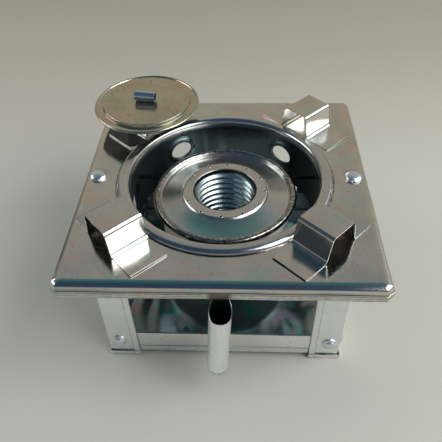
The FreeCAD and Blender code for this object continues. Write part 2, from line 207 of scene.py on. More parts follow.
def thickened(path, thickness):
    """A closed loop round an open path: the path itself, and its copy set off to the left."""
    points = [Vector(p) for p in path]
    offset = []
    for i, point in enumerate(points):
        ahead = points[min(i + 1, len(points) - 1)] - point
        behind = point - points[max(i - 1, 0)]
        normals = [Vector((-d.y, d.x)).normalized() for d in (behind, ahead) if d.length > 1e-9]
        mean = sum(normals, Vector((0, 0))).normalized()
        stretch = 1 / max(0.35, mean.dot(normals[0]))
        offset.append(point + mean * thickness * stretch)
    return [tuple(p) for p in points + offset[::-1]]


# ---- meshes
def wobble(x, y, size, seed):
    """Smooth noise between -1 and 1 over a plane, with features of the given size."""
    return noise.noise(Vector((x / size, y / size, seed * 7.31)))


def grid(rows, wrap_rows=False, wrap_columns=True):
    """Points and quads of a grid of point rows."""
    points = [p for row in rows for p in row]
    width = len(rows[0])
    faces = []
    for i in range(len(rows) if wrap_rows else len(rows) - 1):
        below = (i + 1) % len(rows)
        for j in range(width if wrap_columns else width - 1):
            right = (j + 1) % width
            faces.append((i * width + j, i * width + right, below * width + right, below * width + j))
    return points, faces


def added(name, data):
    """A new object in the scene that shows the given data."""
    thing = bpy.data.objects.new(name, data)
    bpy.context.scene.collection.objects.link(thing)
    return thing


def clean(mesh, outward=True):
    """Joins points that coincide and, unless told not to, turns the faces outwards."""
    work = bmesh.new()
    work.from_mesh(mesh)
    bmesh.ops.remove_doubles(work, verts=work.verts, dist=2e-6)
    if outward:
        bmesh.ops.recalc_face_normals(work, faces=work.faces)
    work.to_mesh(mesh)
    work.free()


def piece(name, shells, material, node=None, crease=32, body="stove", outward=True):
    """A Blender object from point-and-face shells in millimetres, riding on a CAD body."""
    mesh = bpy.data.meshes.new(name)
    points, faces = [], []
    for shell_points, shell_faces in shells:
        start = len(points)
        points += [Vector(p) * MM for p in shell_points]
        faces += [tuple(start + index for index in face) for face in shell_faces]
    mesh.from_pydata(points, [], faces)
    clean(mesh, outward)
    thing = added(name, mesh)
    shade(mesh, crease)
    mesh.materials.append(material)
    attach(thing, body)
    next(slot for slot, materials in SLOTS.items() if material in materials)
    if node:
        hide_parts(node)
    return thing


def shade(mesh, crease):
    mesh.polygons.foreach_set("use_smooth", [True] * len(mesh.polygons))
    mesh.set_sharp_from_angle(angle=math.radians(crease))


def apply_modifier(thing, kind, **settings):
    """Adds a modifier, and keeps its result as the piece's own mesh."""
    modifier = thing.modifiers.new(kind.lower(), kind)
    for key, value in settings.items():
        setattr(modifier, key, value)
    depsgraph = bpy.context.evaluated_depsgraph_get()
    depsgraph.update()
    result = bpy.data.meshes.new_from_object(thing.evaluated_get(depsgraph))
    thing.modifiers.remove(modifier)
    old = thing.data
    name = old.name
    thing.data = result
    bpy.data.meshes.remove(old)
    result.name = name


def solid_sheet(thing, thickness, offset, crease=32):
    """Gives an open sheet its thickness, on the side away from its normals when offset is -1."""
    apply_modifier(thing, "SOLIDIFY", thickness=thickness * MM, offset=offset, use_even_offset=True)
    shade(thing.data, crease)


def carve(thing, shell, crease=40):
    """Cuts a closed shell, given in millimetres, out of a piece."""
    points, faces = shell
    mesh = bpy.data.meshes.new("cutter")
    mesh.from_pydata([Vector(p) * MM for p in points], [], faces)
    clean(mesh)
    cutter = added("cutter", mesh)
    apply_modifier(thing, "BOOLEAN", object=cutter, operation="DIFFERENCE", solver="EXACT")
    bpy.data.objects.remove(cutter)
    bpy.data.meshes.remove(mesh)
    shade(thing.data, crease)


def lathe(profile, segments=240, closed=False, centre=(0, 0), warp=None):
    """A turned shell from (radius, height) points. warp(x, y, z) returns the moved point."""
    rows = []
    for radius, height in profile:
        row = [(radius * cos, radius * sin, height) for cos, sin in circle(segments)]
        if warp:
            row = [warp(*point) for point in row]
        rows.append([(x + centre[0], y + centre[1], z) for x, y, z in row])
    return grid(rows, wrap_rows=closed)


def tube(start, end, radii, segments=96):
    """A closed hollow tube between two points, or a solid bar when the inner radius is 0."""
    start, end = Vector(start), Vector(end)
    axis = (end - start).normalized()
    side = axis.orthogonal().normalized()
    other = axis.cross(side)
    outer, inner = radii
    chamfer = min(0.2, outer * 0.2)
    stations = [(inner, start), (outer - chamfer, start), (outer, start + axis * chamfer)]
    stations += [(outer, end - axis * chamfer), (outer - chamfer, end), (inner, end)]
    spokes = [side * cos + other * sin for cos, sin in circle(segments)]
    rows = [[tuple(point + spoke * radius) for spoke in spokes] for radius, point in stations]
    return grid(rows, wrap_rows=inner > 0)


def bar_along(loop, stations, place):
    """A closed section carried along stations. place(section point, station) gives the 3-D point."""
    rows = [[place(p, station) for p in loop] for station in stations]
    points, faces = grid(rows, wrap_columns=True)
    width = len(loop)
    half = width // 2
    for base in (0, (len(stations) - 1) * width):
        for i in range(half - 1):
            faces.append((base + i, base + i + 1, base + width - 2 - i, base + width - 1 - i))
    return points, faces


def mirrored(shell, x=1, y=1):
    points, faces = shell
    return [(p[0] * x, p[1] * y, p[2]) for p in points], faces


def along_y(point, y):
    """Places a section drawn in X and Z at a station on the Y axis."""
    return point[0], y, point[1]


# ---- materials
class Nodes:
    """Adds shader nodes to a tree. Apart from new and feed, each method gives back an output."""

    def __init__(self, tree):
        self.tree = tree

    def new(self, kind):
        return self.tree.nodes.new(kind)

    def feed(self, socket, value):
        """Links a socket to an output, or sets it to a number, a vector or a colour."""
        if isinstance(value, bpy.types.NodeSocket):
            self.tree.links.new(value, socket)
        elif socket.type == "RGBA":
            socket.default_value = (*value, 1)
        else:
            socket.default_value = value

    def math(self, operation, *values):
        node = self.new("ShaderNodeMath")
        node.operation = operation
        for socket, value in zip(node.inputs, values):
            self.feed(socket, value)
        return node.outputs[0]

    def part(self, vector, axis):
        node = self.new("ShaderNodeSeparateXYZ")
        self.feed(node.inputs[0], vector)
        return node.outputs[axis]

    def reach(self, vector, axis):
        """How far a place is from the middle: along X, Y or Z, or from the upright axis for R."""
        if axis != "R":
            return self.math("ABSOLUTE", self.part(vector, axis))
        flat = self.new("ShaderNodeVectorMath")
        flat.operation = "MULTIPLY"
        self.feed(flat.inputs[0], vector)
        self.feed(flat.inputs[1], (1, 1, 0))
        length = self.new("ShaderNodeVectorMath")
        length.operation = "LENGTH"
        self.feed(length.inputs[0], flat.outputs[0])
        return length.outputs["Value"]

    def ramp(self, value, low, high, out_low=0, out_high=1, kind="LINEAR"):
        node = self.new("ShaderNodeMapRange")
        node.interpolation_type = kind
        names = "Value", "From Min", "From Max", "To Min", "To Max"
        for name, number in zip(names, (value, low, high, out_low, out_high)):
            self.feed(node.inputs[name], number)
        return node.outputs["Result"]

    def mix(self, factor, first, second):
        node = self.new("ShaderNodeMix")
        node.data_type = "RGBA"
        self.feed(node.inputs["Factor"], factor)
        self.feed(node.inputs[6], first)
        self.feed(node.inputs[7], second)
        return node.outputs[2]

    def clouds(self, place, scale, detail, stretch=(1, 1, 1), rough=0.55, shift=0.0):
        mapping = self.new("ShaderNodeMapping")
        self.feed(mapping.inputs["Vector"], place)
        self.feed(mapping.inputs["Location"], (shift, shift, shift))
        self.feed(mapping.inputs["Scale"], stretch)
        texture = self.new("ShaderNodeTexNoise")
        self.feed(texture.inputs["Vector"], mapping.outputs["Vector"])
        self.feed(texture.inputs["Scale"], scale)
        self.feed(texture.inputs["Detail"], detail)
        self.feed(texture.inputs["Roughness"], rough)
        return texture.outputs["Fac"]


def new_material(name):
    """A material, its main shader and a helper for its other nodes."""
    material = bpy.data.materials.new(name)
    material.use_nodes = True
    tree = material.node_tree
    return material, tree.nodes["Principled BSDF"], Nodes(tree)


def tinplate(name, colour, roughness, grain=(1, 1, 1), grain_depth=0.05, smudge=0.5, speck=0.0,
             stain=(0.30, 0.25, 0.18), stain_amount=0.25, hues=0.0,
             patina_and_reflection_tints=((1.06, 0.90, 0.86), (0.84, 0.98, 0.95)), height_shade=None, ring=None, under=None,
             sides=None, inside=None, patch=None, shade_and_grime_lines=(), bore=None):
    """Rolled sheet metal: cloudy handling marks, fine directional lines, specks and scratches, and
    where asked, painted shade, painted sheen and painted reflections.

    patina_and_reflection_tints holds the two tints that hues brings out: the metal's own tints, and on
    the tray floor painted reflections. under is the colour of painted shade on what faces down.
    The other groups hold lengths in millimetres and, last, a colour: height_shade, a band of painted
    shade with bands of painted sheen, has its full and its clear height, ring its clear and its full
    radius, sides its clear and its full x (deeper painted shade, also rougher), inside the half sizes of
    a box whose inner faces get painted shade, and patch its half width, clear y and full y of a painted
    dark reflection. bore, painted shade inside a tube, has a foot, a lean and a radius. Each of the
    shade_and_grime_lines is a thin dark line, painted shade along creases and contacts and plain dark
    lines along hems: X, Y, Z or R, and its distance from the middle."""
    material, shader, nodes = new_material(name)
    mix, ramp, reach = nodes.mix, nodes.ramp, nodes.reach
    coordinates = nodes.new("ShaderNodeTexCoord").outputs
    place = coordinates["Object"]
    height = nodes.part(place, "Z")

    clouds = partial(nodes.clouds, place)
    product = partial(nodes.math, "MULTIPLY")

    def tinted(red, green, blue):
        return colour[0] * red, colour[1] * green, colour[2] * blue

    broad = clouds(38, 3)
    lines = clouds(330, 3, grain, 0.6)
    tone = mix(ramp(broad, 0.42, 0.72, 0, stain_amount), colour, stain)
    # tints of the metal's own; on the tray floor, painted reflections
    if hues:
        tone = mix(ramp(clouds(60, 2, shift=3.1), 0.48, 0.66, 0, hues), tone, tinted(*patina_and_reflection_tints[0]))
        tone = mix(ramp(clouds(75, 2, shift=7.7), 0.50, 0.68, 0, hues), tone, tinted(*patina_and_reflection_tints[1]))
    tone = mix(ramp(lines, 0.35, 0.75, 0, 0.20), tone, tinted(0.74, 0.74, 0.74))
    if speck:
        spots = clouds(700, 2, rough=0.4, shift=1.3)
        tone = mix(ramp(spots, 0.66, 0.72, 0, speck), tone, tinted(0.30, 0.26, 0.22))
        scratches = clouds(260, 2, (7, 0.5, 1), 0.5, 5.2)
        tone = mix(ramp(scratches, 0.68, 0.73, 0, speck * 0.6), tone, tinted(0.45, 0.45, 0.45))
    # painted shade: darker in a band of height (down the well, at the neck's top), with brighter vertical
    # bands of painted sheen
    if height_shade:
        full, clear, dark = height_shade
        height_shade_mask = ramp(height, full * MM, clear * MM, 1, 0)
        sheen_streaks = ramp(clouds(55, 2, (1, 1, 0.12), shift=2.2), 0.50, 0.72)
        tone = mix(height_shade_mask, tone, mix(sheen_streaks, dark, tuple(c * 3.3 for c in dark)))
    if ring:
        clear, full, dark = ring
        spots = ramp(clouds(380, 3, shift=4.4), 0.40, 0.62, 0.25, 1.0)
        tone = mix(product(spots, ramp(reach(place, "R"), clear * MM, full * MM)), tone, dark)
    # painted shade on faces that look downwards
    if under:
        tone = mix(ramp(nodes.part(coordinates["Normal"], "Z"), -0.3, -0.6), tone, under)
    # deeper painted shade on the left and right of the well, within the height band; the same mask also
    # makes it rougher
    if sides:
        clear, full, dark = sides
        side_shade = product(ramp(reach(place, "X"), clear * MM, full * MM), height_shade_mask)
        tone = mix(side_shade, tone, dark)
    # painted shade on the faces inside a box, for the parts within the stove
    if inside:
        *halves, dark = inside
        across, along = (ramp(reach(place, axis), half * MM, (half - 0.15) * MM)
                         for axis, half in zip("XY", halves))
        tone = mix(product(across, along), tone, dark)
    # a painted dark reflection and shadow on a patch of the front flange
    if patch:
        half, clear, full, dark = patch
        middle = ramp(reach(place, "X"), half * MM, 0.6 * half * MM)
        tone = mix(product(middle, ramp(nodes.part(place, "Y"), clear * MM, full * MM)), tone, dark)
    # thin dark lines: painted shade along creases, folds and floor contacts, and dark lines along the legs'
    # hem ends
    for axis, distance in shade_and_grime_lines:
        bow = ramp(clouds(28, 1, shift=8.8), 0.3, 0.7, -0.4 * MM, 0.4 * MM)
        away = nodes.math("SUBTRACT", nodes.math("ADD", reach(place, axis), bow), distance * MM)
        broken = ramp(clouds(300, 2, shift=6.6), 0.36, 0.58, 0.25, 0.95)
        line = product(broken, ramp(nodes.math("ABSOLUTE", away), 0.32 * MM, 0.10 * MM))
        tone = mix(line, tone, tinted(0.10, 0.10, 0.11))
    # painted shade inside a tube's bore
    if bore:
        foot, lean, radius, dark = bore
        upright = nodes.new("ShaderNodeMapping")
        nodes.feed(upright.inputs["Vector"], place)
        nodes.feed(upright.inputs["Rotation"], (0, -lean, 0))
        nodes.feed(upright.inputs["Location"], Matrix.Rotation(-lean, 3, "Y") @ foot * -MM)
        from_bore = reach(upright.outputs["Vector"], "R")
        tone = mix(ramp(from_bore, (radius - 0.1) * MM, (radius - 0.35) * MM), tone, dark)
    nodes.feed(shader.inputs["Base Color"], tone)
    nodes.feed(shader.inputs["Metallic"], 1.0)

    worn = ramp(broad, 0.3, 0.7, roughness, roughness * (1 + smudge))
    fine = ramp(clouds(420, 4), 0.3, 0.7, 0, roughness * smudge * 0.6)
    total = nodes.math("ADD", worn, fine)
    if sides:
        total = nodes.math("ADD", total, ramp(side_shade, 0, 1, 0, 0.4))
    nodes.feed(shader.inputs["Roughness"], total)

    bump = nodes.new("ShaderNodeBump")
    nodes.feed(bump.inputs["Height"], lines)
    nodes.feed(bump.inputs["Strength"], grain_depth)
    nodes.feed(bump.inputs["Distance"], 0.2 * MM)
    nodes.feed(shader.inputs["Normal"], bump.outputs["Normal"])
    return material


TIN = 0.66, 0.65, 0.62
BRIGHT = tinplate("bright_tinplate", TIN, 0.11, (1, 4, 4), 0.02, 0.6, 0.25, hues=0.9)
# a painted dark reflection and shadow of the filler tube on the front flange's middle; painted shade lines
# along the flange's folds and round the bead's foot
PLATE = tinplate("plate_tinplate", TIN, 0.10, (1, 9, 9), 0.05, 0.6, 0.35, hues=0.9,
                 patch=(8.0, -PLATE_HALF + 1.4, -PLATE_HALF + 0.5, (0.12, 0.115, 0.09)),
                 shade_and_grime_lines=(("Z", PLATE_BOTTOM + 0.7), ("Z", PLATE_BOTTOM + 2.1), ("Z", PLATE_BOTTOM + 3.6),
                        ("R", BEAD_R + 0.5), ("R", BEAD_R + 0.1)))
# painted shade down the well, deepest on its left and right sides, with vertical bands of painted sheen
WELL = tinplate("well_tinplate", (0.62, 0.62, 0.61), 0.13, (1, 1, 8),
                height_shade=(PLATE_TOP - 4, PLATE_TOP + 0.5, (0.130, 0.180, 0.190)),
                sides=(30, 50, (0.025, 0.03, 0.035)))
DISC = tinplate("disc_tinplate", (0.68, 0.66, 0.63), 0.16, speck=0.4, hues=0.7,
                ring=(DISC_R - 5.5, DISC_R - 4.0, (0.17, 0.145, 0.12)))
# painted shade on the legs' inner faces; thin dark lines along the hem ends, and painted shade along the
# foot fold and where the feet meet the floor
SATIN = tinplate("satin_tinplate", (0.88, 0.91, 0.91), 0.26, (8, 8, 1), 0.12, 0.5, 0.35, (0.62, 0.62, 0.58),
                 shade_and_grime_lines=(("X", LEG_X - 16.1), ("Y", LEG_Y - 16.1), ("Z", 4.1), ("Z", 0.2)),
                 inside=(LEG_X + 0.25, LEG_Y + 0.25, (0.13, 0.15, 0.15)))
# painted shade inside the filler tube's bore
PIPE = tinplate("pipe_tinplate", (0.92, 0.96, 0.99), 0.26, (8, 8, 1), 0.12, 0.5, 0.35,
                (0.66, 0.66, 0.62), 0.2, bore=(FILLER_FOOT, FILLER_LEAN, FILLER_R, (0.10, 0.12, 0.12)))
HIDDEN = tinplate("tank_tinplate", (0.72, 0.76, 0.77), 0.22, (1, 1, 8), 0.08, 0.6, 0.2)
# painted shadow along the tray's bottom edge where it meets the floor, and painted shade on the box's inner
# faces
TRAY = tinplate("tray_tinplate", (0.90, 0.91, 0.90), 0.22, (1, 8, 8), 0.03, 0.6, 0.0, (0.60, 0.58, 0.53),
                shade_and_grime_lines=(("Z", tray_low.z + 0.3), ("Z", tray_low.z + 0.9)),
                inside=(LEG_X - 0.85, LEG_Y - 0.85, (0.30, 0.36, 0.37)))
# a darker, cooler shaded copy of the tray's tinplate, with strong pink and teal tints of painted reflection
FLOOR = tinplate("tray_floor_tinplate", (0.44, 0.50, 0.51), 0.10, (1, 8, 8), 0.06, 0.6, 0.3,
                 (0.22, 0.22, 0.22), 0.5, 1.0, ((1.25, 0.80, 0.95), (0.42, 1.25, 1.12)))
ZINC = tinplate("zinc_plate", (0.64, 0.76, 0.83), 0.22, (1, 1, 4), 0.06, 0.4, 0.0, (0.3, 0.36, 0.42))
# painted shade at the top of the neck, where it runs into the gap under the hub
NECK = tinplate("neck_zinc", (0.52, 0.61, 0.60), 0.20, (1, 1, 4), 0.06, 0.4, 0.0, (0.22, 0.28, 0.30),
                height_shade=(neck_high.z - 1.4, neck_high.z - 3.4, (0.03, 0.04, 0.045)))
RIVET = tinplate("rivet_metal", (0.84, 0.87, 0.91), 0.24, smudge=0.6, speck=0.3)
# painted shade on the lid's underside
LACQUER = tinplate("lacquered_tinplate", (0.60, 0.56, 0.45), 0.14, (5, 1, 1), 0.06, 0.6, 0.9,
                   (0.42, 0.38, 0.27), 0.6, 0.7, ((1.10, 0.88, 0.84), (0.80, 0.98, 0.86)),
                   under=(0.10, 0.11, 0.13))
IRON = tinplate("black_iron", (0.012, 0.012, 0.014), 0.5, (1, 4, 4), 0.2, 0.4, 0.0, (0.02, 0.015, 0.01))
SLOTS = {
    "bright_tinplate": (BRIGHT, PLATE, WELL, DISC),
    "satin_tinplate": (SATIN, PIPE, HIDDEN, TRAY, FLOOR),
    "zinc_plate": (ZINC, NECK),
    "rivet_metal": (RIVET,),
    "lacquered_tinplate": (LACQUER,),
    "black_iron": (IRON,),
}


# ---- top plate
def clipped(half, clip, per_side, per_clip):
    """Points round a square with cut corners, counter-clockwise from the lower right cut."""
    reach = half - clip
    corners = [(half, -reach), (half, reach), (reach, half), (-reach, half),
               (-half, reach), (-half, -reach), (-reach, -half), (reach, -half)]
    points = []
    for index, corner in enumerate(corners):
        after = corners[(index + 1) % 8]
        count = per_side if index % 2 == 0 else per_clip
        points += [(corner[0] + (after[0] - corner[0]) * i / count,
                    corner[1] + (after[1] - corner[1]) * i / count) for i in range(count)]
    return points


def plate_height(x, y):
    """Dents: hand-worked waves and a pressed ring round each rivet."""
    reach = math.hypot(x, y)
    fade = min(1.0, max(0.0, (reach - 72) / 12))
    fade *= min(1.0, max(0.0, (PLATE_HALF - 7 - max(abs(x), abs(y))) / 10))
    lift = fade * (0.28 * wobble(x, y, 46, 1) + 0.10 * wobble(x, y, 19, 2))
    for side in (-1, 1):
        away = math.hypot(x - side * PLATE_RIVET_X, y)
        lift -= 0.42 * math.exp(-((away - 6.6) / 1.0) ** 2)
    return lift


def plate_edge_wave(x, y, z):
    """The flange's hand-folded unevenness. It only moves the sheet inwards."""
    drop = min(1.0, max(0.0, (PLATE_TOP - 3 - z) / 3))
    along, across, side = (x, y, 3) if abs(y) > abs(x) else (y, x, 11)
    side += across > 0
    pull = 0.30 + 0.30 * wobble(along, side * 13.7 + z * 2.5, 24, 5)
    sag = 0.75 * wobble(along, side * 9.1, 26, 6)
    scale = 1 - drop * max(0.0, pull) / PLATE_HALF
    return (x * scale, y * scale, z + drop * sag)


def top_plate():
    """One folded sheet: flat round its hole, drooping to a bend, with a flange and an outward hem."""
    mitre = 0.586

    def square(inset):
        return clipped(PLATE_HALF - SHEET - inset, CORNER_CUT - mitre * inset, 150, 7)

    def flat_row(z, share):
        row = []
        for x, y in square(flat_inset):
            scale = HOLE_R / math.hypot(x, y) * (1 - share) + share
            row.append((x * scale, y * scale, z + plate_height(x * scale, y * scale)))
        return row

    bottom = PLATE_BOTTOM
    hem_top = bottom + HEM_DEPTH
    flat_inset = FLANGE_LEAN + BEND_R + (DROOP_R - BEND_R) * math.sin(math.radians(DROOP_TURN))
    edge = 90 + DROOP_TURN
    droop = arc((flat_inset, PLATE_TOP - DROOP_R), DROOP_R, 90, edge, 3)
    centre = (droop[-1][0] - BEND_R * math.cos(math.radians(edge)),
              droop[-1][1] - BEND_R * math.sin(math.radians(edge)))
    bend = droop[1:] + arc(centre, BEND_R, edge, 170, 8)[1:]
    groove = hem_top + 0.75
    flange = [(0.62, groove + 0.35), (0.42, groove), (0.06, groove - 0.35), (0.02, groove - 0.55)]
    hem = arc((-0.05, hem_top - 0.35), 0.22, 90, 160, 35) + [(-0.42, bottom + 2.2)]
    fold = arc((0, bottom + 0.6), 0.6, 170, 360, 30)
    inside = arc(centre, BEND_R - SHEET, 180, edge, 18)
    inside += arc((flat_inset, PLATE_TOP - DROOP_R), DROOP_R - SHEET, edge, 90, 5)[1:-1]
    rows = [flat_row(PLATE_TOP, i / 44) for i in range(45)]
    rows += [[plate_edge_wave(x, y, z) for x, y in square(inset)]
             for inset, z in bend + flange + hem + fold + inside]
    rows += [flat_row(PLATE_TOP - SHEET, i / 10) for i in range(10, -1, -1)]
    piece("plate", [grid(rows, wrap_rows=True)], PLATE, "top_plate", 28)


# ---- well wall
def wall_point(degrees, height, inward=0.0):
    """A point on the wall's inner face, with its slight hand-rolled unevenness and lap seam."""
    angle = math.radians(degrees)
    radius = WELL_R - inward
    low = min(1.0, max(0.0, (PLATE_TOP - 4 - height) / 10))
    radius += low * 0.30 * wobble(degrees * 1.15, height, 26, 12)
    seam = 163.4
    if seam - 0.01 <= degrees <= seam + 22:
        share = 1 - (degrees - seam) / 22
        radius -= 1.1 * share ** 1.3 * low
    return (radius * math.cos(angle), radius * math.sin(angle), height)


def air_hole_patch(degrees, half_columns, half_rows):
    """A wall patch round one air hole: rings that go from the patch's border to a flared collar."""
    step = math.radians(1) * WELL_R
    half_border = [(i * step, -half_rows) for i in range(-half_columns, half_columns)]
    half_border += [(half_columns * step, i) for i in range(-half_rows, half_rows)]
    border = half_border + [(-across, -up) for across, up in half_border]
    flare = [(12.5, 0.0), (11.9, 0.08), (11.4, 0.35), (10.9, 0.8), (10.4, 1.2), (9.9, 1.5), (9.3, 1.65),
             (8.7, 1.6), (8.3, 1.35), (8.05, 0.95), (7.95, 0.5), (7.9, 0.1)]
    brim, mouth = flare[0][0], flare[-1][0]
    rows = []
    for i in range(5):
        share = i / 4
        scales = [1 - share + share * brim / math.hypot(*spot) for spot in border]
        rows.append([(across * k, up * k, 0.0) for (across, up), k in zip(border, scales)])
    for radius, inward in flare[1:]:
        pull = (brim - radius) / (brim - mouth)
        wide, tall = radius * (1 + 0.10 * pull), radius * (1 - 0.14 * pull)
        rows.append([(across / math.hypot(across, up) * wide, up / math.hypot(across, up) * tall, inward)
                     for across, up in border])
    return grid([
        [wall_point(degrees + math.degrees(across / WELL_R), AIR_HOLE_Z + up, inward)
         for across, up, inward in row] for row in rows
    ])


def well_wall():
    roll = BEAD_HEIGHT
    inner, outer = (WELL_R + roll, PLATE_TOP), (BEAD_R - roll, PLATE_TOP)
    bead = arc(inner, roll, 180, 90, 7) + arc(outer, roll, 90, 0, 7)
    heights = [float(z) for z in range(WELL_BOTTOM, int(PLATE_TOP))]
    rows = [[wall_point(d, z) for d in range(360)] for z in heights]
    rows += [[(radius * cos, radius * sin, z) for cos, sin in circle(360)] for radius, z in bead]
    points, faces = grid(rows)
    half_columns, half_rows = 11, 13
    middle = heights.index(float(int(AIR_HOLE_Z)))
    kept = []
    for face in faces:
        row, column = divmod(face[0], 360)
        inside = middle - half_rows <= row < middle + half_rows and any(
            -half_columns <= (column - a + 180) % 360 - 180 < half_columns for a in AIR_HOLE_ANGLES)
        if not inside:
            kept.append(face)
    patches = [air_hole_patch(degrees, half_columns, half_rows) for degrees in AIR_HOLE_ANGLES]
    wall = piece("well", [(points, kept), *patches], WELL, "well_wall", 40, outward=False)
    solid_sheet(wall, 0.55, 1.0, 40)
    # the slanting gap beside the lap seam, in Y and Z, cut through the wall's left side
    gap = [(18.4, 90.5), (13.5, 92.5), (2.0, 88.8), (-12.0, 84.0), (-12.0, 66.0), (0.0, 75.3), (12.0, 79.5)]
    cutter = [(-72, y, z) for y, z in gap] + [(-58, y, z) for y, z in gap]
    count = len(gap)
    sides = [(i, (i + 1) % count, count + (i + 1) % count, count + i) for i in range(count)]
    carve(wall, (cutter, sides + [tuple(range(count)), tuple(range(count, 2 * count))]))


# ---- burner
def burner_disc():
    centre = (DISC_R - ROLL_R, DISC_TOP - ROLL_R)
    level = centre[1]
    inner_r = HUB_R - 1.4
    groove = centre[0] - ROLL_R
    dish = run((inner_r, level + 2.5), (groove - 1.2, level - 1.1), 0.8)
    swell = [(r, z - 0.3 * math.sin(math.pi * (r - inner_r) / (groove - 1.2 - inner_r))) for r, z in dish]
    path = swell + arc((groove - 0.9, level - 0.5), 0.6, 250, 350, 25)
    path += arc(centre, ROLL_R, 172, -90, 9)
    loop = thickened(path, -SHEET * 0.9)

    def warp(x, y, z):
        reach = math.hypot(x, y)
        fade = max(0.0, 1 - abs(reach - 39) / 9)
        return x, y, z + 0.16 * fade * wobble(x, y, 24, 20)

    piece("burner_dish", [lathe(loop, 288, True, warp=warp)], DISC, "burner_disc", 40)


def jet_places():
    angles = [2 * math.pi * jet / JETS + math.radians(JET_TURN) for jet in range(JETS)]
    return [(JET_CIRCLE_R * math.cos(angle), JET_CIRCLE_R * math.sin(angle)) for angle in angles]


def burner_hub():
    shoulder = crease_line(84, 1.05)
    step_r = HUB_R - shoulder[-1][0] - 0.05
    path = [(HUB_R, hub_low.z)] + [(step_r + x, HUB_TOP + y) for x, y in shoulder[::-1]]
    path += run((step_r - 0.3, HUB_TOP), (BORE_R + 0.6, HUB_TOP), 0.8)
    path += arc((BORE_R + 0.6, HUB_TOP - 0.6), 0.6, 90, 180, 15)
    path += [(BORE_R, hub_low.z + 0.1)]
    loop = thickened(path, SHEET * 0.8)

    def warp(x, y, z):
        return x, y, z + 0.07 * wobble(x, y, 9, 23) - 0.04

    hub = piece("hub_ring", [lathe(loop, 288, True, warp=warp)], DISC, "burner_hub", 40)
    for x, y in jet_places():
        carve(hub, tube((x, y, HUB_TOP - 2), (x, y, HUB_TOP + 1), (0.85, 0), 14))


def jet_burrs():
    """The small raised lips where the jets were punched."""
    lip = arc((1.15, HUB_TOP - 0.14), 0.34, -60, 240, 25)
    shells = [lathe(lip, 20, True, place) for place in jet_places()]
    piece("jet_lips", shells, DISC, None, 50)


def burner_neck():
    """A rolled thread: one helical rib down the whole sleeve."""
    segments, per_turn = 192, 14
    top, bottom = neck_high.z, neck_low.z
    middle, half = (NECK_ROOT_R + NECK_CREST_R) / 2, (NECK_ROOT_R - NECK_CREST_R) / 2
    count = round((top - bottom) / NECK_PITCH * per_turn)
    rows = []
    for i in range(count + 1):
        z = top + (bottom - top) * i / count
        ease = min(1.0, max(0.0, (top - z - 1.6) / 1.4))
        row = []
        for j, (cos, sin) in enumerate(circle(segments)):
            wave = math.sin(2 * math.pi * ((z - bottom) / NECK_PITCH - j / segments))
            shape = math.copysign(abs(wave) ** 0.75, wave)
            radius = (middle + half * shape) * ease + NECK_MOUTH_R * (1 - ease)
            row.append((radius * cos, radius * sin, z))
        rows.append(row)
    neck = piece("threaded_neck", [grid(rows)], NECK, "burner_neck", 60, outward=False)
    solid_sheet(neck, 0.5, -1.0, 60)


def tank():
    """The round tank, its lower end and the pipe that feeds it, all hidden under the burner."""
    top = TANK_R, tank_high.z
    wall = run((TANK_R, tank_low.z), top, 3.0) + [top]

    def dented(x, y, z):
        scale = 1 - 0.004 * max(0.0, wobble(math.atan2(y, x) * 40, z, 22, 31))
        return x * scale, y * scale, z

    piece("tank_wall", [lathe(thickened(wall, 0.55), 200, True, warp=dented)], HIDDEN, "tank_shell")
    outer = cap_high.x
    low, high = cap_low.z, cap_high.z
    path = run((0.01, low), (outer - 1.2, low), 3.0) + arc((outer - 1.2, low + 1.2), 1.2, 270, 360, 18)
    path += [(outer, high - 0.3), (outer - 0.15, high)]
    piece("tank_base", [lathe(thickened(path, 0.55), 200, True)], HIDDEN, "tank_bottom")
    y0, y1 = pipe_low.y, pipe_high.y
    x, z = (pipe_low.x + pipe_high.x) / 2, (pipe_low.z + pipe_high.z) / 2
    piece("feed", [tube((x, y0, z), (x, y1, z), (4.0, 3.4), 64)], HIDDEN, "feed_pipe")


# ---- legs and tray
def legs():
    """Four folded angle legs. A leg's section runs hem, front face, corner, side face, hem."""
    left, front = -LEG_X - SHEET, -LEG_Y - SHEET
    width, hem = LEG_WIDTH, LEG_HEM
    thin = 0.55
    section = [
        (left + width - hem, front - 0.58), (left + width - 0.02, front - 0.58),
        (left + width - 0.02, front + thin), (left + thin, front + thin),
        (left + thin, front + width - 0.02), (left - 0.58, front + width - 0.02),
        (left - 0.58, front + width - hem),
    ]
    loop = thickened(rounded(section, 0.5, 20), 0.5)
    heights = [0.0, 0.3] + [z * LEG_TOP / 34 for z in range(1, 34)] + [LEG_TOP - 0.3, LEG_TOP]

    def upright(point, z):
        x, y = point
        sway = 0.25 * wobble(x, z, 30, 41) * min(1.0, z / 20) * min(1.0, (LEG_TOP - z) / 15)
        return (x + abs(sway) * 0.8, y + abs(sway) * 0.8, z)

    angle_shell = bar_along(loop, heights, upright)
    wrap = 1.16
    foot = [(left + width + 0.2, front - wrap), (left - wrap, front - wrap),
            (left - wrap, front + width + 0.2)]
    foot_loop = thickened(rounded(foot, 0.6, 15), -0.5)
    foot_heights = [0.02, 0.25, 1.5, 3.0, FOOT_FOLD - 0.2, FOOT_FOLD]

    def foot_place(point, z):
        ease = 0.18 * max(0.0, 1 - min(z, FOOT_FOLD - z) / 0.4)
        return (point[0] + ease, point[1] + ease, z)

    foot_shell = bar_along(foot_loop, foot_heights, foot_place)
    tab = 8.0
    tabs = []
    for x0, x1, y0, y1 in ((left + tab / 2, left + width, front + 0.6, front + tab),
                           (left + 0.6, left + tab, front + tab / 2, front + width)):
        strip = thickened([(x0, LEG_TOP - 0.55), (x1, LEG_TOP - 0.55)], 0.5)
        tabs.append(bar_along(strip, [y0, y1], along_y))
    for side, x in (("left", 1), ("right", -1)):
        for end, y in (("front", 1), ("back", -1)):
            shells = [mirrored(s, x, y) for s in (angle_shell, foot_shell, *tabs)]
            piece(f"{end}_{side}_leg", shells, SATIN, f"leg_{end}_{side}", 35)


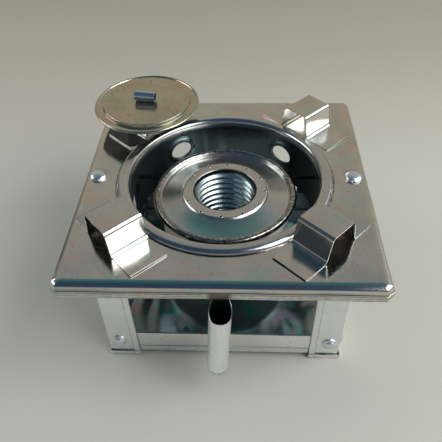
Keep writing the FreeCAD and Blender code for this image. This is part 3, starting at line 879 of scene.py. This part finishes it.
def tray():
    """A shallow box with a rolled top edge and a hem strip outside, and a crumpled sheet on its floor."""
    low, high = tray_low.z, tray_high.z
    lip = 0.8
    wall = SHEET
    corner = 0.02
    corner_cut = 0.72

    def loop_at(inset, z):
        half_x, half_y = LEG_X - inset, LEG_Y - inset
        row = []
        for u, v in clipped(1.0, corner, 60, 3):
            x, y = u * half_x, v * half_y
            if abs(u) > 0.975 and abs(v) > 0.975:
                x = math.copysign(half_x - corner_cut * (1 - abs(u)) / corner, u)
                y = math.copysign(half_y - corner_cut * (1 - abs(v)) / corner, v)
            row.append((x, y, z))
        return row

    def shrunk(inset, share):
        return [(x * share, y * share) for x, y, _ in loop_at(inset, 0)]

    path = [(wall, low + 0.3), (wall, low + 6), (wall, low + 12), (wall, high - 1.7)]
    path += arc((wall + lip, high - lip), lip, 180, -90, 22)
    path += [(wall + 0.6, high - lip * 2 - 0.2), (wall + 0.6, low + 8), (wall + 0.6, low + 1.4)]
    path += [(wall + 0.8, low + 0.75), (wall + 1.3, low + 0.6)]
    rows = [loop_at(inset, z) for inset, z in path]
    for i in range(1, 30):
        rise = 0.9 * min(1, i / 4)
        rows.append([(x, y, low + 0.6 + rise * max(0.0, wobble(x, y, 40, 52)))
                     for x, y in shrunk(wall + 1.3, 1 - i / 30)])
    rows += [[(0.0, 0.0, z)] * len(rows[0]) for z in (low + 0.6, low)]
    rows += [loop_at(wall + 1.3, low), loop_at(wall + 0.3, low + 0.05)]
    box = grid(rows, wrap_rows=True)

    sheet = [[(x, y, low + 1.0 + 1.1 * abs(wobble(x, y, 27, 52))) for x, y in shrunk(wall + 1.8, i / 40)]
             for i in range(41)]
    sheet.append([(x, y, low + 0.8) for x, y, _ in sheet[-1]])
    sheet.append([(0.0, 0.0, low + 0.8)] * len(sheet[-1]))
    piece("tray_floor", [grid(sheet, wrap_rows=True)], FLOOR, "base_tray", 40)

    span_x, span_y = LEG_X - LEG_WIDTH - 0.2, LEG_Y - LEG_WIDTH - 0.2
    hem_high = 9.4
    section = [(0.0, low + 0.05), (-0.5, low + 0.3), (-0.56, low + 2), (-0.56, hem_high - 0.25),
               (-0.35, hem_high), (0.0, hem_high), (0.05, hem_high - 1), (0.05, low + 1)]
    stations = [-1 + i / 20 for i in range(41)]

    def strip_front(point, s):
        ripple = 0.12 * wobble(s * 70, 3, 18, 53) if point[1] > low + 3 else 0.0
        return s * span_x, -LEG_Y + wall + point[0], point[1] + ripple

    def strip_side(point, s):
        return -LEG_X + wall + point[0], s * span_y, point[1]

    strips = [bar_along(section, stations, place) for place in (strip_front, strip_side)]
    strips = [shell for strip in strips for shell in (strip, mirrored(strip, -1, -1))]
    piece("tray_box", [box, *strips], TRAY, "base_tray", 35)


# ---- filler tube
def filler():
    """The leaning tube, slightly faceted by the rolling, and the dished cap in its foot."""
    segments, count = 120, 40
    turn = Matrix.Rotation(FILLER_LEAN, 3, "Y")
    rows = []
    for i in range(count + 1):
        share = i / count
        ease = max(0.0, 1 - share / 0.05)
        shrink = 1 - 0.05 * ease * ease
        row = []
        for j in range(segments):
            angle = 2 * math.pi * j / segments
            facet = 1 - 0.012 * (1 + math.cos(angle * 9)) * 0.5
            x, y = FILLER_R * facet * math.cos(angle), FILLER_R * facet * math.sin(angle)
            depth = (y + FILLER_R) / (2 * FILLER_R)
            rise = max(0.0, min(1.0, (depth - 0.02) / 0.9)) ** 2.1
            rim = MOUTH_FRONT + (MOUTH_BACK - MOUTH_FRONT) * rise - FILLER_FOOT.z
            point = turn @ Vector((x * shrink, y * shrink, 0.3 + rim * share))
            row.append(tuple(point + FILLER_FOOT))
        rows.append(row)
    pipe = piece("filler_pipe", [grid(rows)], PIPE, "filler_tube", 50, outward=False)
    solid_sheet(pipe, 0.5, -1.0, 50)
    profile = [(0.001, 0.9), (4.0, 1.0), (5.4, 0.7), (6.1, 0.45), (6.3, 0.9), (6.3, 2.2), (5.8, 2.2),
               (5.7, 1.6), (0.001, 1.5)]
    points, faces = lathe(profile, 64)
    moved = [tuple(turn @ Vector(p) + FILLER_FOOT) for p in points]
    piece("filler_foot_cap", [(moved, faces)], SATIN, "filler_end_cap", 40)


# ---- rivets, pins, brackets
def dome(radius, height, depth=0.6, squash=0.0, seed=0, brim=0.0):
    """A hammered rivet head standing on z = 0; brim is the share of its height that a flat brim takes."""
    profile = [(0.001, -depth), (radius - 0.5, -depth), (radius - 0.05, -0.05), (radius, 0.1)]
    for i in range(1, 20):
        share = 1 - i / 20
        step = brim * (1 - share ** 7) ** 0.5
        cap = (1 - brim) * max(0.0, 1 - (share / (1 - 0.55 * brim)) ** 2.6) ** 0.62
        profile.append((radius * share, height * (step + cap)))
    profile.append((0.001, height))

    def hammered(x, y, z):
        if z > 0.3:
            z -= squash * (1 + wobble(x, y, 3.2, seed)) * z / height
        return x, y, z

    return lathe(profile, 64, warp=hammered)


def placed(shell, position, direction):
    turn = Vector((0, 0, 1)).rotation_difference(Vector(direction)).to_matrix()
    points, faces = shell
    return [tuple(turn @ Vector(p) + Vector(position)) for p in points], faces


def rivets():
    shells = []
    for side in (-1, 1):
        x = side * PLATE_RIVET_X
        head, tail = dome(*PLATE_RIVET_HEAD, 0.8, 0.20, side + 60), dome(3.3, 1.2, 0.6, 0.1, side + 63)
        shells.append(placed(head, (x, 0, PLATE_TOP + 0.05), (0, 0, 1)))
        shells.append(placed(tail, (x, 0, PLATE_TOP - 1.4), (0, 0, -1)))
    piece("plate_rivet_heads", shells, RIVET, "plate_rivets", 45)
    shells = []
    out_x, out_y = LEG_X + SHEET, LEG_Y + SHEET
    for x in (-1, 1):
        for y in (-1, 1):
            spots = [((x * (out_x - LEG_RIVET_INSET), y * out_y, LEG_RIVET_RISE), (0, y, 0)),
                     ((x * out_x, y * (out_y - LEG_RIVET_INSET), LEG_RIVET_RISE), (x, 0, 0))]
            for index, (spot, out) in enumerate(spots):
                seed = 70 + index + x + 3 * y
                shells.append(placed(dome(*LEG_RIVET_HEAD, 0.6, 0.26, seed, 0.45), spot, out))
                tail_spot = Vector(spot) - Vector(out) * (2 * SHEET)
                shells.append(placed(dome(2.75, 0.95, 0.3, 0.1, seed), tail_spot, [-v for v in out]))
    piece("leg_rivet_heads", shells, RIVET, "leg_rivets", 45)


def pins_and_brackets():
    """Two short bars through the well's wall, and the bent strips outside it that hold them."""
    for name, side in (("left", -1), ("right", 1)):
        low, high = cad("burner_pin_" + name)
        bar = tube((low.x, PIN_Y, PIN_Z), (high.x, PIN_Y, PIN_Z), (PIN_R, 0), 40)
        piece(name + "_pin", [bar], IRON, "burner_pin_" + name)
        low, high = cad("burner_bracket_" + name)
        inner, outer = sorted((abs(low.x), abs(high.x)))
        inner += 0.75
        level = high.z - 0.75
        bend = thickened(rounded([(outer, level), (inner, level), (inner, low.z)], 1.2, 15), -0.7)
        flap = thickened([(inner, high.z - 3), (inner, low.z)], -0.7)
        shells = [bar_along(bend, [-7, -6.8, 6.8, 7], along_y), bar_along(flap, [6.9, high.y], along_y)]
        shells = [mirrored(shell, side) for shell in shells]
        piece(name + "_bracket", shells, HIDDEN, "burner_bracket_" + name)


# ---- pot supports
def pot_support(corner, degrees, shift, top_width, base_width, left_reach, right_reach):
    """A bent strip with soft folds: a bridge between two feet that don't quite lie flat."""
    base, top, rise = base_width / 2, top_width / 2, SUPPORT_RISE
    seed = degrees / 10
    level, summit = 0.44, rise - 0.02
    steep = math.atan2(summit - level, base - top)
    fold = crease_line(math.degrees(steep), 1.0)
    fold_x, fold_y = fold[-1][0], -fold[-1][1]
    start_x = top + fold_y / math.tan(steep) - fold_x
    end_x = base - fold_y / math.tan(steep) + fold_x
    half = [(start_x + x, summit + y) for x, y in fold]
    half += [(end_x - x, level - y) for x, y in fold[::-1]]
    path = [(-right_reach, level)] + [(-x, y) for x, y in half[::-1]] + half + [(left_reach, level)]
    fine = [point for ends in zip(path, path[1:]) for point in run(*ends, 1.6)]
    loop = thickened(fine + path[-1:], -0.38)
    stations = [0, 0.12] + [SUPPORT_LENGTH * i / 16 for i in range(1, 16)]
    stations += [SUPPORT_LENGTH - 0.12, SUPPORT_LENGTH]
    angle = math.radians(degrees)

    def place(point, along):
        across, up = point
        reach = left_reach if across > 0 else right_reach
        out = max(0.0, abs(across) - base - 1.5) / (reach - base - 1.5)
        up += out ** 1.7 * (0.62 + 0.30 * wobble(along, across, 15, seed))
        wall = min(1.0, up / 5) * min(1.0, max(0.0, (rise + 0.2 - up) / 5))
        across += wall * 0.30 * wobble(along, up * 1.3, 17, seed + 3)
        if abs(across) < top - 1:
            edge = 1 - (abs(across) / top) ** 2
            up -= 0.16 * edge * (1 + wobble(along, across, 15, seed + 5))
        radius = SUPPORT_START + along
        across += shift
        return (radius * math.cos(angle) - across * math.sin(angle),
                radius * math.sin(angle) + across * math.cos(angle),
                PLATE_TOP + up)

    piece("support_" + corner, [bar_along(loop, stations, place)], BRIGHT, "pot_support_" + corner, 30)


# ---- lid
def on_lid(point):
    """From the lid's own frame, with its panel's underside at Z = 0, to the stove's."""
    x, y, z = point
    rise, across = math.sin(LID_TILT), math.cos(LID_TILT)
    return (x + LID_CENTRE[0], y * across - z * rise + LID_CENTRE[1], y * rise + z * across + LID_BASE)


def on_knob(point):
    """From the knob's own frame, with its roll along X, to the stove's."""
    x, y, z = point
    cos, sin = math.cos(KNOB_TURN), math.sin(KNOB_TURN)
    return on_lid((x * cos - y * sin + KNOB_SHIFT[0], x * sin + y * cos + KNOB_SHIFT[1], z))


def lid():
    top = LID_SHEET
    rim = top - LID_STEP
    panel = run((0.01, top), (LID_PANEL_R - 1.0, top), 1.2)
    path = panel + arc((LID_PANEL_R - 0.5, top - 0.5), 0.5, 90, 14, 12)
    path += arc((LID_PANEL_R + 0.75, rim + 0.4), 0.4, 194, 270, 18)
    path += run((LID_PANEL_R + 1.2, rim), (LID_R - 2.6, rim - 0.1), 0.9)
    path += arc((LID_R - 2.2, rim + 0.2), 0.3, 250, 320, 23)
    path += arc((LID_R - 1.0, rim - 0.35), 1.0, 140, -90, 12)

    def dished(x, y, z):
        reach = math.hypot(x, y)
        fade = max(0.0, 1 - reach / LID_PANEL_R)
        ring_mark = 0.06 * math.exp(-((reach - 31.2) / 0.7) ** 2)
        return x, y, z - fade * 0.12 * (1 + wobble(x, y, 26, 81)) - ring_mark

    points, faces = lathe(thickened(path, -0.42), 288, True, warp=dished)
    piece("lid_plate", [([on_lid(p) for p in points], faces)], LACQUER, "lid_disc", 40, "lid")


def knob():
    """A strip rolled one and a bit turns into a small tube, with its tab clenched under the lid."""
    half = KNOB_LENGTH / 2
    axis = LID_SHEET + KNOB_R + 0.1
    spiral = []
    for i in range(72):
        turn = math.radians(106 + i * 395 / 71)
        radius = KNOB_R - 0.05 - 0.5 * i / 71
        spiral.append((radius * math.cos(turn), radius * math.sin(turn)))
    loop = thickened(spiral, 0.42)
    stations = [-half, -half + 0.12, -half / 2, 0.0, half / 2, half - 0.12, half]

    def place(point, along):
        waist = 1.0 - 0.015 * (1 - abs(along) / half)
        return on_knob((along, point[0] * waist, axis + point[1] * waist))

    roll = bar_along(loop, stations, place)
    tab = thickened([(-4.4, -0.12), (4.4, -0.12)], -0.5)
    web = thickened([(0.5, -0.4), (0.5, 0.9)], 1.0)
    shells = [roll]
    for section in (tab, web):
        shells.append(bar_along(section, [-5.9, 5.9], lambda p, a: on_knob((a, p[0], p[1]))))
    piece("knob_roll", shells, ZINC, "lid_knob", 50, "lid")


# ---- stage, light, camera
def stage():
    reach, count = 3.2, 8
    steps = [-reach + 2 * reach * i / count for i in range(count + 1)]
    rows = [[(x, y, 0) for y in steps] for x in steps]
    mesh = bpy.data.meshes.new("floor")
    points, faces = grid(rows, wrap_columns=False)
    mesh.from_pydata(points, [], [face[::-1] for face in faces])
    floor = added("floor", mesh)
    material, shader, nodes = new_material("pale_floor")
    place = nodes.new("ShaderNodeTexCoord").outputs["Object"]
    behind = nodes.ramp(nodes.part(place, "Y"), 0.12, 0.40)
    tone = nodes.mix(behind, (0.585, 0.565, 0.490), (0.520, 0.470, 0.380))
    nodes.feed(shader.inputs["Base Color"], tone)
    nodes.feed(shader.inputs["Roughness"], 0.8)
    mesh.materials.append(material)


def surroundings():
    """A plain studio: pale low down and behind, dark blue above, dark on the left, bright on the right."""
    world = bpy.data.worlds.new("studio")
    bpy.context.scene.world = world
    world.use_nodes = True
    nodes = Nodes(world.node_tree)
    direction = nodes.new("ShaderNodeTexCoord").outputs["Generated"]
    x, y, z = (nodes.part(direction, axis) for axis in "XYZ")
    ramp = partial(nodes.ramp, kind="SMOOTHSTEP")

    # how far round from straight in front (0) over the top (0.5) to straight behind (1)
    turn = nodes.math("ARCTAN2", z, nodes.math("MULTIPLY", y, -1.0))
    sweep = nodes.new("ShaderNodeValToRGB")
    nodes.feed(sweep.inputs["Fac"], nodes.math("DIVIDE", turn, math.pi))
    stops = (
        (0.00, (0.240, 0.230, 0.210)), (0.09, (0.120, 0.120, 0.130)), (0.17, (0.045, 0.065, 0.120)),
        (0.38, (0.040, 0.070, 0.150)), (0.52, (0.030, 0.060, 0.120)), (0.58, (0.045, 0.130, 0.150)),
        (0.65, (0.060, 0.190, 0.175)), (0.675, (0.220, 0.290, 0.330)), (0.70, (0.300, 0.320, 0.330)),
        (0.73, (0.340, 0.325, 0.300)), (0.77, (0.385, 0.365, 0.325)), (0.83, (0.430, 0.390, 0.310)),
        (1.00, (0.430, 0.375, 0.290)),
    )
    elements = sweep.color_ramp.elements
    while len(elements) < len(stops):
        elements.new(1.0)
    for element, (position, colour) in zip(elements, stops):
        element.position = position
        element.color = (*colour, 1)
    tone = nodes.mix(ramp(x, -0.50, -0.75), sweep.outputs["Color"], (0.035, 0.062, 0.085))
    tone = nodes.mix(ramp(z, 0.20, 0.09), tone, (0.400, 0.375, 0.330))
    right = nodes.mix(ramp(z, 0.12, 0.34), (0.10, 0.11, 0.12), (0.85, 0.88, 0.90))
    tone = nodes.mix(ramp(x, 0.55, 0.80), tone, right)
    nodes.feed(world.node_tree.nodes["Background"].inputs["Color"], tone)


def area_light(name, position, size, power, colour, target=(0, 0, 0.10)):
    data = bpy.data.lights.new(name, "AREA")
    data.shape = "RECTANGLE"
    data.size, data.size_y = size
    data.energy = power
    data.color = colour
    lamp = added(name, data)
    lamp.location = position
    aim = Vector(target) - Vector(position)
    lamp.rotation_mode = "QUATERNION"
    lamp.rotation_quaternion = aim.to_track_quat("-Z", "Y")
    return lamp


def camera():
    """A camera in front and above, looking down at the stove."""
    data = bpy.data.cameras.new("camera")
    data.sensor_width = 36.0
    data.lens = 42.29
    data.clip_start = 0.01
    thing = added("camera", data)
    yaw, pitch, roll = -0.0596, 0.7719, -0.0332
    forward = Vector((math.sin(yaw) * math.cos(pitch), math.cos(yaw) * math.cos(pitch), -math.sin(pitch)))
    level = Vector((math.cos(yaw), -math.sin(yaw), 0))
    above = level.cross(forward)
    right = math.cos(roll) * level + math.sin(roll) * above
    up = -math.sin(roll) * level + math.cos(roll) * above
    axes = Matrix((right, up, -forward)).transposed()
    thing.matrix_world = Matrix.Translation((0.01323, -0.28080, 0.33541)) @ axes.to_4x4()
    bpy.context.scene.camera = thing


camera()
stage()
surroundings()
area_light("window", (0.785, -0.285, 0.73), (1.12, 0.74), 8.5, (0.97, 1.0, 1.0))
area_light("doorway", (-0.86, 0.15, 0.58), (0.60, 0.34), 2.1, (0.95, 0.98, 1.0))
area_light("skylight", (0.58, -0.145, 1.02), (0.34, 0.30), 1.5, (0.95, 0.99, 1.0))
fill = area_light("fill", (-0.45, -0.05, 1.30), (1.60, 1.60), 3.6, (1.0, 0.98, 0.95), (-0.15, 0, 0))
fill.visible_glossy = False
bpy.context.scene.view_settings.view_transform = "Standard"

top_plate()
well_wall()
burner_disc()
burner_hub()
jet_burrs()
burner_neck()
tank()
legs()
tray()
filler()
rivets()
pins_and_brackets()
for corner, sizes in SUPPORTS.items():
    pot_support(corner, *sizes)
lid()
knob()
